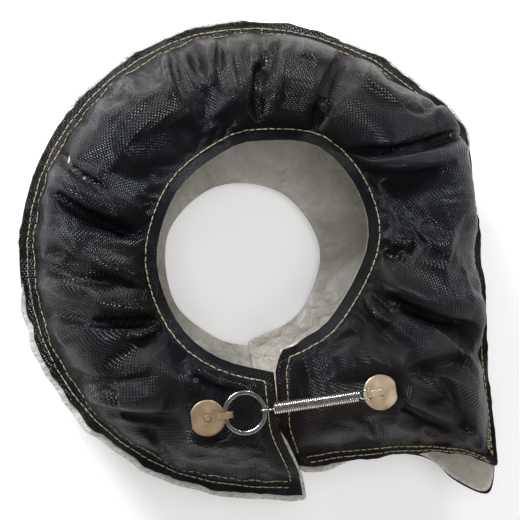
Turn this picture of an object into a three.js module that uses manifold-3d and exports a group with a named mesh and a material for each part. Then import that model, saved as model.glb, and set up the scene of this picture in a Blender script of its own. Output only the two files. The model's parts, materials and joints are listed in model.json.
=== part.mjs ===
// A heat blanket for the turbine housing of a turbocharger, lying on its rear face with the front up.
// Two padded panels, each a black outer cloth, a wool pad and a silver lining, are sewn together round
// a snail-shaped outer seam. Each panel has a hole for the housing and is slit from the hole to the
// edge. The lower right is left open as a mouth for the housing's inlet. A coil spring and a split ring
// between two hooks hold the slit shut.
// Millimetres. X runs right and Y up across the front, Z up out of it.
import * as THREE from "three";
import { mergeVertices } from "three/addons/utils/BufferGeometryUtils.js";
import Module from "manifold-3d";

const wasm = await Module();
wasm.setup();

// Layers
const clearance = 0.3;
const layerGap = 0.45;
const padGap = 0.8;
const coverCloth = 0.9;
const linerCloth = 0.6;
const threadRadius = 0.4;

// Seams and hems
const seamRuffle = 1.3;
const flangeWidth = 8;
const stitchInset = 0.6;
const rowSpacing = 3.2;
const mouthRow = 3.8;
const rimHem = 6.2;
const endHem = 6;
const endTaper = 24;

// Outline of the outer seam
const bodyRadius = 125;
const bodyX = 3.1;
const bodyY = -1.9;
const shoulderAngle = 58.9;
const shoulder = [102.8, 79.8];
const shoulderPeak = [117.1, 70.3];
const sideTop = [118.3, 50.9];
const sideBottom = [128.2, -112.6];
const mouthEndDrop = 4;
const slitWidth = 1;
const slitEdgeX = 15.5;
const columnPitch = 17.5;

// Front panel
const frontRimLift = 26;
const frontLoft = 20;
const frontMouthLift = 7;

// Rear panel, which lies on the ground, its hole a little off the front one
const rearHole = [-3.2, -2];
const rearRimLift = 28;
const rearRimHeight = 9;
const rearLoft = 19.5;
const rearMouthDrop = 11;

// Closure: hooks, ring and spring
const leftAnchor = [-27.3, -85.6];
const rightAnchor = [58.7, -73.4];
const seatLift = 33;
const seatReach = 10;
const seatBlend = 14;
const discRadius = 8.8;
const discFlatDepth = 0.9;
const discThickness = 0.8;
const baseRadius = 9.5;
const baseThickness = 0.8;
const pinRadius = 1.1;
const headRadius = 1.8;
const headHeight = 0.6;
const stripThickness = 0.7;
const stripWidth = 3.2;
const stripTail = 3.4;
const leftTipAt = 4.2;
const rightTipAt = 0.6;
const rightBendAt = 4.2;
const ringRadius = 9.8;
const ringWireWidth = 2;
const ringWireHeight = 0.95;
const ringCentreAt = 18.2;
const ringEndAt = -58;
const ringStepHalf = 0.4;
const ringEndGap = 0.15;
const springWire = 0.9;
const springRadius = 2.55;
const coilGap = 0.19;
const springLead = 2.3;
const leftLoopRadius = 2.3;
const rightLoopSlack = 0.7;

// Holes: stations of angle and radius round the hole's middle, clockwise from the slit
const frontRim = [
  [-84.5, 63.6],
  [-108, 60.2],
  [-130, 58],
  [-155, 54.2],
  [-180, 51.8],
  [-215, 50.2],
  [-250, 51.4],
  [-270, 53.4],
  [-300, 59],
  [-330, 57.4],
  [-360, 54.2],
  [-405, 50.4],
  [-430, 51.4],
  [-440, 53],
];
const rearRim = [
  [-86, 47],
  [-110, 45],
  [-150, 44],
  [-200, 43.4],
  [-250, 43],
  [-300, 43],
  [-350, 43],
  [-400, 42],
  [-443, 45],
];

// Lower edges of the mouth, from the bottom of the right side to the slit
const frontMouth = [sideBottom, [112, -107.7], [86, -105.7], [62, -107.5], [38, -109.5]];
const rearMouth = [sideBottom, [130, -124.6], [120, -128.1], [105, -118.6], [90, -108.1], [56, -106.6], [34, -109.1]];

// Row places across a pad, as shares of its width from the hole out
const frontRows = [0, 0.08, 0.24, 0.44, 0.64, 0.81, 0.92, 1];
const rearRows = [0, 0.13, 0.38, 0.64, 0.86, 1];

// Gathers that run in from the outer seam or out from the hole: angle, half-width in degrees, share of
// the loft lost, and whether they start at the seam (1) or at the hole (0)
const frontGathers = [
  [-118, 5, 0.45, 1],
  [-140, 5, 0.4, 0],
  [-161, 4, 0.52, 1],
  [-176, 4, 0.5, 1],
  [-189, 4.5, 0.5, 0],
  [-206, 4, 0.55, 1],
  [-249, 4, 0.55, 1],
  [-260, 3.5, 0.6, 1],
  [-271, 4, 0.55, 1],
  [-294, 4, 0.6, 1],
  [-328, 5, 0.48, 1],
  [-341, 5, 0.35, 0],
  [-382, 5, 0.46, 1],
  [-404, 5, 0.4, 1],
  [-421, 4, 0.35, 1],
];
const rearGathers = [
  [-120, 6, 0.3, 1],
  [-170, 6, 0.3, 1],
  [-215, 6, 0.3, 1],
  [-265, 6, 0.3, 1],
  [-310, 6, 0.3, 1],
  [-370, 6, 0.3, 1],
];

const seamHeight = rearRimHeight + rearRimLift;

const radians = THREE.MathUtils.degToRad;
const lerp = THREE.MathUtils.lerp;
const smooth = THREE.MathUtils.smoothstep;
const flat = ([x, y]) => new THREE.Vector2(x, y);
const polar = ([angle, radius]) =>
  new THREE.Vector2(Math.cos(radians(angle)) * radius, Math.sin(radians(angle)) * radius);
const rimCurve = (panel) =>
  new THREE.SplineCurve(panel.rim.map((station) => polar(station).add(flat(panel.hole))));

// Outer seam line

function arcStations() {
  const endX = slitEdgeX - slitWidth / 2;
  const start = -Math.acos((endX - bodyX) / bodyRadius);
  const stop = radians(shoulderAngle - 360);
  const at = (angle) =>
    new THREE.Vector2(bodyX + bodyRadius * Math.cos(angle), bodyY + bodyRadius * Math.sin(angle));
  const hem = start - endHem / bodyRadius;
  const count = Math.round(((hem - stop) * bodyRadius) / columnPitch);
  const stations = [at(start)];
  for (let i = 0; i <= count; i++) stations.push(at(lerp(hem, stop, i / count)));
  return stations;
}

function along(curve, from, to) {
  const count = Math.max(1, Math.round(((to - from) * curve.getLength()) / columnPitch));
  return Array.from({ length: count }, (_, i) => curve.getPointAt(lerp(from, to, (i + 1) / count)));
}

function sideStations(arcEnd) {
  const top = new THREE.LineCurve(arcEnd, flat(shoulder));
  const corner = new THREE.QuadraticBezierCurve(flat(shoulder), flat(shoulderPeak), flat(sideTop));
  const side = new THREE.LineCurve(flat(sideTop), flat(sideBottom));
  return [top, corner, side].flatMap((curve) => along(curve, 0, 1));
}

function mouthStations(points) {
  const last = new THREE.Vector2(slitEdgeX + slitWidth / 2, points.at(-1)[1] - mouthEndDrop);
  const curve = new THREE.SplineCurve([...points.map(flat), last]);
  const hem = 1 - endHem / curve.getLength();
  return [...along(curve, 0, hem), last];
}

const arc = arcStations();
const sewn = [...arc, ...sideStations(arc.at(-1))];

// A column runs straight from the hole's edge to the outer edge

function unwrapped(angles) {
  const out = [...angles];
  for (let i = 1; i < out.length; i++) while (out[i] > out[i - 1]) out[i] -= 360;
  return out;
}

const angleOf = (p) => THREE.MathUtils.radToDeg(Math.atan2(p.y, p.x));

function columnsOf(panel) {
  const outer = [...sewn, ...mouthStations(panel.mouth)];
  const rim = rimCurve(panel);
  const angles = unwrapped(outer.map(angleOf));
  const last = outer.length - 1;
  const hem = endHem / rim.getLength();
  const columns = outer.map((edge, i) => {
    const share = (angles[i] - angles[1]) / (angles[last - 1] - angles[1]);
    const place = i === 0 ? 0 : i === last ? 1 : lerp(hem, 1 - hem, share);
    const inMouth = Math.max(0, (i - sewn.length + 1) / (last - sewn.length + 1));
    const wave = Math.sin(2.1 * i) + Math.sin(0.9 * i + 1);
    return { inner: rim.getPointAt(place), edge, inMouth, ruffle: seamRuffle * wave * (1 - inMouth) };
  });
  return panel.side > 0 ? withMidColumns(columns) : columns;
}

function withMidColumns(columns) {
  const between = (a, b) => ({
    inner: a.inner.clone().lerp(b.inner, 0.5),
    edge: a.edge.clone().lerp(b.edge, 0.5),
    inMouth: (a.inMouth + b.inMouth) / 2,
    ruffle: (a.ruffle + b.ruffle) / 2,
  });
  const last = columns.length - 1;
  return columns.flatMap((column, i) => (i > 0 && i < last - 1 ? [column, between(column, columns[i + 1])] : [column]));
}

const middleOf = (column) => column.inner.clone().lerp(column.edge, 0.5);

// Heights above the seam plane

function gatherAt(panel, angle, across) {
  let lost = 0;
  for (const [at, width, depth, fromSeam] of panel.gathers) {
    const off = (angle - at) / width;
    const reach = fromSeam ? smooth(across, 0.12, 0.75) : 1 - smooth(across, 0.3, 0.95);
    lost += depth * Math.exp(-off * off) * reach;
  }
  return Math.min(lost, 0.7);
}

// The front is pressed down under the closure: none of the loft is lost beyond this distance from it
function seatShare(point) {
  const from = flat(leftAnchor);
  const way = flat(rightAnchor).sub(from);
  const place = point.clone().sub(from);
  const t = THREE.MathUtils.clamp(place.dot(way) / way.lengthSq(), 0, 1);
  return smooth(place.distanceTo(way.multiplyScalar(t)), seatReach, seatReach + seatBlend);
}

function heightsOf(panel, column, across, point, level) {
  const fromSeam = 1 - across;
  const rise = 0.5 * Math.sin((Math.PI / 2) * fromSeam ** 0.8) + 0.5 * fromSeam;
  const plump = Math.sin(Math.PI * fromSeam ** 0.8) ** 0.6;
  const loft = panel.loft * plump * column.ends * (1 - gatherAt(panel, column.angle, across));
  const seam = panel.mouthLift * Math.sin(Math.PI * column.inMouth) ** 0.7;
  const linerLow = lerp(seam, panel.rimLift, rise) + layerGap / 2;
  const linerHigh = linerLow + linerCloth;
  let coverHigh = linerHigh + layerGap + coverCloth + Math.max(loft, 0);
  if (panel.side > 0) coverHigh = lerp(Math.min(coverHigh, seatLift), coverHigh, seatShare(point));
  else coverHigh = Math.min(coverHigh, level);
  return { linerLow, linerHigh, coverLow: coverHigh - coverCloth, coverHigh };
}

// Grids of points, one for each face of each layer, as grid[column][row]

function panelGrids(panel) {
  const columns = columnsOf(panel);
  const angles = unwrapped(columns.map((column) => angleOf(middleOf(column))));
  const hems = [middleOf(columns[1]), middleOf(columns.at(-2))];
  const faces = { linerLow: [], linerHigh: [], coverLow: [], coverHigh: [] };
  columns.forEach((column, i) => {
    const inHem = i === 0 || i === columns.length - 1;
    const fromHem = inHem ? 0 : Math.min(...hems.map((hem) => hem.distanceTo(middleOf(column))));
    column.angle = angles[i];
    column.ends = Math.sin((Math.PI / 2) * Math.min(1, fromHem / endTaper)) ** 0.6;
    const width = column.inner.distanceTo(column.edge);
    const padWidth = width - rimHem - flangeWidth;
    const places = [0, ...panel.rows.map((share) => rimHem + share * padWidth), width];
    for (const name in faces) faces[name].push([]);
    for (const place of places) {
      const across = THREE.MathUtils.clamp((place - rimHem) / padWidth, 0, 1);
      const point = column.inner.clone().lerp(column.edge, place / width);
      const level = seamHeight + column.ruffle * smooth(across, 0.5, 1);
      const heights = heightsOf(panel, column, across, point, level);
      for (const name in faces)
        faces[name].at(-1).push(new THREE.Vector3(point.x, point.y, level + panel.side * heights[name]));
    }
  });
  return faces;
}

const shifted = (grid, dz) => grid.map((column) => column.map((p) => p.clone().setZ(p.z + dz)));
const trimmed = (grid, rows, columns) => grid.slice(columns, -columns).map((c) => c.slice(rows, -rows));

// A closed sheet between two grids that lie one over the other

function sheetGeometry(upper, lower) {
  const [columns, rows] = [upper.length, upper[0].length];
  const position = [upper, lower].flatMap((grid) => grid.flatMap((c) => c.flatMap((p) => [p.x, p.y, p.z])));
  const top = (c, r) => c * rows + r;
  const under = (c, r) => top(c, r) + columns * rows;
  const index = [];
  const quad = (a, b, c, d) => index.push(a, b, c, a, c, d);
  for (let c = 0; c < columns - 1; c++) {
    for (let r = 0; r < rows - 1; r++) {
      quad(top(c, r), top(c + 1, r), top(c + 1, r + 1), top(c, r + 1));
      index.push(under(c, r), under(c + 1, r + 1), under(c + 1, r));
      index.push(under(c, r), under(c, r + 1), under(c + 1, r + 1));
    }
    quad(top(c + 1, 0), top(c, 0), under(c, 0), under(c + 1, 0));
    quad(top(c, rows - 1), top(c + 1, rows - 1), under(c + 1, rows - 1), under(c, rows - 1));
  }
  for (let r = 0; r < rows - 1; r++) {
    quad(top(0, r), top(0, r + 1), under(0, r + 1), under(0, r));
    quad(top(columns - 1, r + 1), top(columns - 1, r), under(columns - 1, r), under(columns - 1, r + 1));
  }
  const geometry = new THREE.BufferGeometry();
  geometry.setAttribute("position", new THREE.Float32BufferAttribute(position, 3));
  geometry.setIndex(index);
  return geometry;
}

// The height of a grid's face over a point, and its highest point within a radius of one

function heightOver(grid, x, y) {
  const triangle = new THREE.Triangle();
  const [point, bary] = [new THREE.Vector3(x, y, 0), new THREE.Vector3()];
  for (let c = 0; c < grid.length - 1; c++)
    for (let r = 0; r < grid[c].length - 1; r++)
      for (const [b, d] of [
        [grid[c + 1][r], grid[c + 1][r + 1]],
        [grid[c + 1][r + 1], grid[c][r + 1]],
      ]) {
        const corners = [grid[c][r], b, d];
        triangle.set(...corners.map((p) => new THREE.Vector3(p.x, p.y, 0)));
        if (triangle.getBarycoord(point, bary) && Math.min(bary.x, bary.y, bary.z) > -1e-6)
          return bary.x * corners[0].z + bary.y * corners[1].z + bary.z * corners[2].z;
      }
  return -Infinity;
}

function highestNear(grid, [x, y], radius) {
  let high = heightOver(grid, x, y);
  for (const p of grid.flat()) if (Math.hypot(p.x - x, p.y - y) < radius) high = Math.max(high, p.z);
  for (let i = 0; i < 24; i++) {
    const [dx, dy] = [Math.cos(i * radians(15)), Math.sin(i * radians(15))];
    for (const share of [0.5, 1])
      high = Math.max(high, heightOver(grid, x + dx * radius * share, y + dy * radius * share));
  }
  return high;
}

// Joins and cuts

function solidOf(geometry) {
  const bare = geometry.clone();
  bare.deleteAttribute("normal");
  bare.deleteAttribute("uv");
  const merged = mergeVertices(bare, 1e-4);
  return new wasm.Manifold(
    new wasm.Mesh({
      numProp: 3,
      vertProperties: merged.attributes.position.array,
      triVerts: new Uint32Array(merged.index.array),
    }),
  );
}

function geometryOf(solid) {
  const mesh = solid.getMesh();
  const geometry = new THREE.BufferGeometry();
  geometry.setAttribute("position", new THREE.Float32BufferAttribute(mesh.vertProperties, 3));
  geometry.setIndex([...mesh.triVerts]);
  return geometry;
}

function cut(geometry, ...tools) {
  return geometryOf(tools.reduce((solid, tool) => solid.subtract(solidOf(tool)), solidOf(geometry)));
}

function upright(radius, low, high, [x, y]) {
  const rod = new THREE.CylinderGeometry(radius, radius, high - low, 24);
  return rod.rotateX(Math.PI / 2).translate(x, y, (low + high) / 2);
}

// Materials

const finish = (color, roughness, metalness = 0) =>
  new THREE.MeshStandardMaterial({ color, roughness, metalness });
const blackCloth = finish(0x15161a, 0.38);
const silverCloth = finish(0x9b958c, 0.5, 0.35);
const wool = finish(0xe6e2d6, 0.95);
const thread = finish(0xb9b27c, 0.8);
const steel = finish(0xb4a68e, 0.3, 1);
const wire = finish(0xc9c4bc, 0.22, 1);

const blanket = new THREE.Group();

function add(name, geometry, material, parent = blanket) {
  const mesh = new THREE.Mesh(geometry, material);
  mesh.name = name;
  parent.add(mesh);
  return mesh;
}

// Panels

const front = {
  side: 1,
  hole: [0, 0],
  rim: frontRim,
  mouth: frontMouth,
  rows: frontRows,
  gathers: frontGathers,
  rimLift: frontRimLift,
  loft: frontLoft,
  mouthLift: frontMouthLift,
};
const rear = {
  side: -1,
  hole: rearHole,
  rim: rearRim,
  mouth: rearMouth,
  rows: rearRows,
  gathers: rearGathers,
  rimLift: rearRimLift,
  loft: rearLoft,
  mouthLift: rearMouthDrop,
};
const frontFaces = panelGrids(front);
const rearFaces = panelGrids(rear);

const frontPad = {
  upper: trimmed(shifted(frontFaces.coverLow, -padGap), 2, 2),
  lower: trimmed(shifted(frontFaces.linerHigh, layerGap), 2, 2),
};
const rearPad = {
  upper: trimmed(shifted(rearFaces.linerHigh, -layerGap), 2, 2),
  lower: trimmed(shifted(rearFaces.coverLow, padGap), 2, 2),
};

// Each hook's stud stands on a base disc between the pad and the lining

const anchors = [leftAnchor, rightAnchor];
const seat = Math.max(...anchors.map((at) => highestNear(frontFaces.coverHigh, at, discRadius + 1)));
const baseUnder = anchors.map(
  (at) => highestNear(frontFaces.linerHigh, at, baseRadius + clearance) + clearance,
);
const discUnder = seat + stripThickness + 2 * clearance;
const headTop = discUnder + discThickness + clearance + headHeight;
const studHoles = anchors.map((at) => upright(pinRadius + clearance, seamHeight, headTop, at));
const basePockets = anchors.map((at, i) =>
  upright(baseRadius + clearance, seamHeight, baseUnder[i] + baseThickness + clearance, at),
);

add("front_cover", cut(sheetGeometry(frontFaces.coverHigh, frontFaces.coverLow), ...studHoles), blackCloth);
add("front_fill", cut(sheetGeometry(frontPad.upper, frontPad.lower), ...studHoles, ...basePockets), wool);
add("front_lining", sheetGeometry(frontFaces.linerHigh, frontFaces.linerLow), silverCloth);
add("rear_cover", sheetGeometry(rearFaces.coverLow, rearFaces.coverHigh), blackCloth);
add("rear_fill", sheetGeometry(rearPad.upper, rearPad.lower), wool);
add("rear_lining", sheetGeometry(rearFaces.linerLow, rearFaces.linerHigh), silverCloth);

// Rows of stitching, each one thread that lies just off the cloth it sews

// A closed rod of the given section along a path; the section's first axis starts out along a hint
function sweepGeometry(path, section, hint) {
  const [position, index, sides] = [[], [], section.length];
  const across = hint.clone();
  path.forEach((at, i) => {
    const ahead = path[Math.min(i + 1, path.length - 1)].clone().sub(path[Math.max(i - 1, 0)]).normalize();
    across.addScaledVector(ahead, -across.dot(ahead)).normalize();
    const up = ahead.clone().cross(across);
    for (const [u, v] of section) {
      const corner = at.clone().addScaledVector(across, u).addScaledVector(up, v);
      position.push(corner.x, corner.y, corner.z);
    }
  });
  for (let i = 0; i < (path.length - 1) * sides; i++) {
    const next = i % sides === sides - 1 ? i + 1 - sides : i + 1;
    index.push(i, next, next + sides, i, next + sides, i + sides);
  }
  const end = (path.length - 1) * sides;
  for (let k = 1; k < sides - 1; k++) index.push(0, k + 1, k, end, end + k, end + k + 1);
  const geometry = new THREE.BufferGeometry();
  geometry.setAttribute("position", new THREE.Float32BufferAttribute(position, 3));
  geometry.setIndex(index);
  return geometry;
}

function polygon(radius, sides, turn = 0) {
  const corner = (k) => radians(turn + (360 * k) / sides);
  return Array.from({ length: sides }, (_, k) => [Math.cos(corner(k)) * radius, Math.sin(corner(k)) * radius]);
}

function threadGeometry(path, side) {
  const across = path[1].clone().sub(path[0]).cross(new THREE.Vector3(0, 0, 1));
  return sweepGeometry(path, polygon(threadRadius, 3, -90 * side), across);
}

// A path over a grid's face, through places given as fractional columns and rows
function onCloth(grid, side, places) {
  return places.map(([c, r]) => {
    const [column, row] = [Math.min(Math.floor(c), grid.length - 2), Math.min(Math.floor(r), grid[0].length - 2)];
    const near = grid[column][row].clone().lerp(grid[column][row + 1], r - row);
    const far = grid[column + 1][row].clone().lerp(grid[column + 1][row + 1], r - row);
    const at = near.lerp(far, c - column);
    return at.setZ(heightOver(grid, at.x, at.y) + side * (2 * clearance + threadRadius));
  });
}

const counted = (from, to, place) => Array.from({ length: to - from + 1 }, (_, i) => place(from + i));
const hole = stitchInset / rimHem;
const ends = stitchInset / endHem;
const corner = sewn.length - 1;

function cornerColumn(grid) {
  return grid.findIndex((column) => column.at(-1).x === sewn[corner].x && column.at(-1).y === sewn[corner].y);
}

function addThreads(prefix, grid, side) {
  const [last, rows, mouthFrom] = [grid.length - 1, grid[0].length - 1, cornerColumn(grid)];
  const left = counted(2, rows - 2, (r) => [1 - ends, rows - r]);
  const rim = counted(1, last - 1, (c) => [c, 1 - hole]);
  const right = counted(2, rows - 2, (r) => [last - 1 + ends, r]);
  add(prefix + "_hole_stitching", threadGeometry(onCloth(grid, side, [...left, ...rim, ...right]), side), thread);
  const inHem = mouthRow / flangeWidth;
  const mouth = counted(mouthFrom + 1, last - 2, (c) => [[c, rows - 1 + inHem], [c + inHem, rows - 1 + inHem]]).flat();
  add(prefix + "_mouth_stitching", threadGeometry(onCloth(grid, side, mouth), side), thread);
  return (name, inset) => {
    const seam = counted(2, mouthFrom - 1, (c) => [c, rows - 1 + inset / flangeWidth]);
    add(name, threadGeometry(onCloth(grid, side, seam), side), thread);
  };
}

const addSeam = addThreads("front", frontFaces.coverHigh, 1);
addSeam("outer_seam_inner_row", stitchInset);
addSeam("outer_seam_outer_row", stitchInset + rowSpacing);
addThreads("rear", rearFaces.coverHigh, -1);

// Hooks, in the closure's own frame: X from the left hook to the right one, Z up off the cloth

const [leftAt, rightAt] = anchors.map(flat);
const closure = new THREE.Group();
closure.position.set(...leftAnchor, seat);
closure.rotation.z = rightAt.clone().sub(leftAt).angle();
blanket.add(closure);
const span = leftAt.distanceTo(rightAt);

const discLow = discUnder - seat;
const discHigh = discLow + discThickness;
const ringLow = headTop - seat + clearance;
const ringHigh = ringLow + 2 * ringWireHeight + clearance;
const wireLevel = (ringLow + ringHigh) / 2;
const stripHigh = clearance + stripThickness;
const bendInner = (ringHigh + clearance - stripHigh) / 2;
const bendLevel = stripHigh + bendInner;
const wireInner = Math.sqrt((ringRadius - ringWireWidth / 2) ** 2 - (stripWidth / 2) ** 2);
const leftBendAt = ringCentreAt - wireInner;

function stripGeometry(bendAt, tipAt) {
  const outer = bendInner + stripThickness;
  const side = new THREE.Shape();
  side.moveTo(-stripTail, clearance);
  side.lineTo(bendAt, clearance);
  side.absarc(bendAt, bendLevel, outer, -Math.PI / 2, Math.PI / 2, false);
  side.lineTo(tipAt, bendLevel + outer);
  side.lineTo(tipAt, bendLevel + bendInner);
  side.lineTo(bendAt, bendLevel + bendInner);
  side.absarc(bendAt, bendLevel, bendInner, Math.PI / 2, -Math.PI / 2, true);
  side.lineTo(-stripTail, stripHigh);
  const strip = new THREE.ExtrudeGeometry(side, { depth: stripWidth, bevelEnabled: false, curveSegments: 7 });
  strip.translate(0, 0, -stripWidth / 2).rotateX(Math.PI / 2);
  return cut(strip, upright(pinRadius + clearance, 0, discHigh, [0, 0]));
}

function discGeometry(bendAt) {
  const half = Math.acos(1 - discFlatDepth / discRadius);
  const outline = new THREE.Shape();
  outline.absarc(0, 0, discRadius, Math.PI + half, Math.PI * 3 - half, false);
  const hole = new THREE.Path().absarc(0, 0, pinRadius + clearance, 0, Math.PI * 2, true);
  outline.holes.push(hole);
  const disc = new THREE.ExtrudeGeometry(outline, { depth: discThickness, bevelEnabled: false, curveSegments: 16 });
  disc.translate(0, 0, discLow);
  const crossing = Math.sqrt(Math.max(0, bendInner ** 2 - (bendLevel - discLow) ** 2));
  const notchFrom = bendAt + crossing - 2 * clearance;
  if (notchFrom > discRadius) return disc;
  const notch = new THREE.BoxGeometry(2 * discRadius, stripWidth + 2 * clearance, 4 * discThickness);
  return cut(disc, notch.translate(notchFrom + discRadius, 0, (discLow + discHigh) / 2));
}

function studGeometry(under) {
  const low = under - seat;
  const top = discHigh + clearance;
  const profile = [
    [0, low],
    [baseRadius, low],
    [baseRadius, low + baseThickness],
    [pinRadius, low + baseThickness],
    [pinRadius, top],
    [headRadius, top],
    [headRadius * 0.7, top + headHeight],
    [0, top + headHeight],
  ];
  const stud = new THREE.LatheGeometry(profile.map(flat), 16);
  return stud.rotateX(Math.PI / 2);
}

function addHook(side, at, turn, bendAt, tipAt, under) {
  const hook = new THREE.Group();
  hook.position.x = at;
  hook.rotation.z = turn;
  closure.add(hook);
  add(side + "_hook_stud", studGeometry(under), steel, hook);
  add(side + "_hook", stripGeometry(bendAt, tipAt), steel, hook);
  add(side + "_lock_disc", discGeometry(bendAt), steel, hook);
}

addHook("left", 0, 0, leftBendAt, leftTipAt, baseUnder[0]);
addHook("right", span, Math.PI, rightBendAt, rightTipAt, baseUnder[1]);

// Split ring: two flat turns of one wire, one on the other, with a step between the ends

function ringPath() {
  const steps = 54;
  const turns = 4 * Math.PI - 2 * ringStepHalf - 2 * ringEndGap;
  return Array.from({ length: steps + 1 }, (_, i) => {
    const turn = (turns * i) / steps;
    const off = turn - turns / 2;
    const level = (ringWireHeight + clearance) * (smooth(off, -ringStepHalf, ringStepHalf) - 0.5);
    const angle = turn + radians(ringEndAt);
    return new THREE.Vector3(Math.cos(angle) * ringRadius, Math.sin(angle) * ringRadius, level);
  });
}

const [ringHalfWidth, ringHalfHeight] = [ringWireWidth / 2, ringWireHeight / 2];
const ringSection = [
  [-ringHalfWidth, -ringHalfHeight],
  [ringHalfWidth, -ringHalfHeight],
  [ringHalfWidth, ringHalfHeight],
  [-ringHalfWidth, ringHalfHeight],
];
const ringHint = new THREE.Vector3(-Math.cos(radians(ringEndAt)), -Math.sin(radians(ringEndAt)), 0);
const ring = add("split_ring", sweepGeometry(ringPath(), ringSection, ringHint), wire, closure);
ring.position.set(ringCentreAt, 0, wireLevel);

// Spring: an upright hook through the ring, the coil, and a flat loop round the right hook

function springPath() {
  const points = [];
  const ringWireAt = ringCentreAt + ringRadius;
  for (let i = 0; i <= 10; i++) {
    const turn = radians(-40 - 25 * i);
    points.push([ringWireAt + Math.cos(turn) * leftLoopRadius, 0, Math.sin(turn) * leftLoopRadius]);
  }
  const bendFace = rightBendAt + Math.sqrt(bendInner ** 2 - (wireLevel - bendLevel) ** 2);
  const rightLoopRadius = Math.hypot(stripWidth / 2, rightLoopSlack) + clearance + springWire / 2;
  const loopAt = span - bendFace - rightLoopSlack;
  const coilStart = ringWireAt + leftLoopRadius + springLead;
  const coilEnd = loopAt - rightLoopRadius - springLead;
  points.push([coilStart - springLead * 0.45, -0.4, springRadius * 0.55]);
  const stepsPerTurn = 8;
  const steps = Math.round((coilEnd - coilStart) / (springWire + coilGap)) * stepsPerTurn;
  for (let i = 0; i <= steps; i++) {
    const turn = (2 * Math.PI * i) / stepsPerTurn + Math.PI / 2;
    const x = lerp(coilStart, coilEnd, i / steps);
    points.push([x, Math.cos(turn) * springRadius, Math.sin(turn) * springRadius]);
  }
  points.push([coilEnd + springLead * 0.25, -1.2, springRadius * 0.62]);
  for (let i = 1; i <= 11; i++) {
    const turn = radians(215 + 26 * i);
    points.push([loopAt + Math.cos(turn) * rightLoopRadius, Math.sin(turn) * rightLoopRadius, 0]);
  }
  return points.map((p) => new THREE.Vector3(...p));
}

const springHint = new THREE.Vector3(0, 1, 0);
const spring = add("tension_spring", sweepGeometry(springPath(), polygon(springWire / 2, 4), springHint), wire, closure);
spring.position.z = wireLevel;

// The origin is under the middle of the whole blanket, on the ground
const bounds = new THREE.Box3().setFromObject(blanket);
const centre = bounds.getCenter(new THREE.Vector3());
blanket.position.set(-centre.x, -centre.y, -bounds.min.z);

const part = new THREE.Group();
part.add(blanket);

export default part;
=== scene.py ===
# A turbine heat blanket lying on its rear face: two padded panels with a silver lining, sewn
# together round the outer seam, closed across the slit by a split ring and a coil spring.
import json
import math
import bpy
import bmesh
import numpy as np
from mathutils import Matrix, Vector, noise
from mathutils.bvhtree import BVHTree
from mathutils.kdtree import KDTree

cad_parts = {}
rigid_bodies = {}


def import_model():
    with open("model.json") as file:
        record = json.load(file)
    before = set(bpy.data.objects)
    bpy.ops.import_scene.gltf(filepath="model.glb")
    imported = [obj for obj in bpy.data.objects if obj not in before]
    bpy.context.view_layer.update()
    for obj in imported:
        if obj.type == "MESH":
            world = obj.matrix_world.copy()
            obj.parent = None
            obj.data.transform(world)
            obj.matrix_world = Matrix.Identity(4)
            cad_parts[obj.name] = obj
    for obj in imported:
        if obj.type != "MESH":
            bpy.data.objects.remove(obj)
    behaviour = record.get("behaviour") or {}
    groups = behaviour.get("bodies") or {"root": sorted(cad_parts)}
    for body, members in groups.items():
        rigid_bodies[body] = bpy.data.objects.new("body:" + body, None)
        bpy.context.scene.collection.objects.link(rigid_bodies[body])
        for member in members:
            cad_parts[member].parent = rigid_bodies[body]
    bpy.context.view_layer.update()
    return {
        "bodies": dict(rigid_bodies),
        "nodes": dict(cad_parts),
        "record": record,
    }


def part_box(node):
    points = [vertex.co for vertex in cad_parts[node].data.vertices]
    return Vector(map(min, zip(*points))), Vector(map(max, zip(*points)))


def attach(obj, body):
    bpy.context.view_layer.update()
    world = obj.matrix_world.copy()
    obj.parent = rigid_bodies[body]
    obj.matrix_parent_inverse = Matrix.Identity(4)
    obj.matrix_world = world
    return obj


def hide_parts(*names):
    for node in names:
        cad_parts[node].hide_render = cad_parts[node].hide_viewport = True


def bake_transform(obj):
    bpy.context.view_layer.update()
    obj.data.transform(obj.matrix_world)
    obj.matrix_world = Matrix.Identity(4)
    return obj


MM = 0.001
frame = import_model()
nodes = frame["nodes"]
scene = bpy.context.scene
rng = np.random.default_rng(11)

# Camera

camera = {"place": (-73.1, -61.7, 680.5), "turn": (5.26, -6.42, -0.15), "lens": 85.85}
cameraData = bpy.data.cameras.new("camera")
cameraData.lens = camera["lens"]
cameraData.clip_end = 20
cameraObject = bpy.data.objects.new("camera", cameraData)
cameraObject.location = Vector(camera["place"]) * MM
cameraObject.rotation_euler = [math.radians(a) for a in camera["turn"]]
scene.collection.objects.link(cameraObject)
scene.camera = cameraObject

pictureWidth = 520


def toPixels(points):
    # where points in millimetres fall in the picture, in pixels from its upper left corner
    inverse = np.array(cameraObject.rotation_euler.to_matrix().inverted())
    local = (points - np.array(camera["place"])) @ inverse.T
    focal = camera["lens"] / cameraData.sensor_width * pictureWidth
    across = focal * local[..., 0] / -local[..., 2]
    up = focal * local[..., 1] / -local[..., 2]
    return np.stack([pictureWidth / 2 + across, pictureWidth / 2 - up], -1)


# Shared helpers


def smoothstep(x, a, b):
    t = np.clip((x - a) / (b - a), 0, 1)
    return t * t * (3 - 2 * t)


def waves(x, seed, scale):
    # a smooth random line with values from about -1 to 1
    values = [noise.noise(Vector((float(v) / scale, seed * 7.3, 0.5))) for v in np.ravel(x)]
    return np.array(values).reshape(np.shape(x)) * 1.8


def newObject(name, data):
    made = bpy.data.objects.new(name, data)
    scene.collection.objects.link(made)
    return made


def runAlong(points):
    # how far along their line the points are, from the first one on
    return np.concatenate([[0], np.cumsum(np.linalg.norm(np.diff(points, axis=0), axis=1))])


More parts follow.
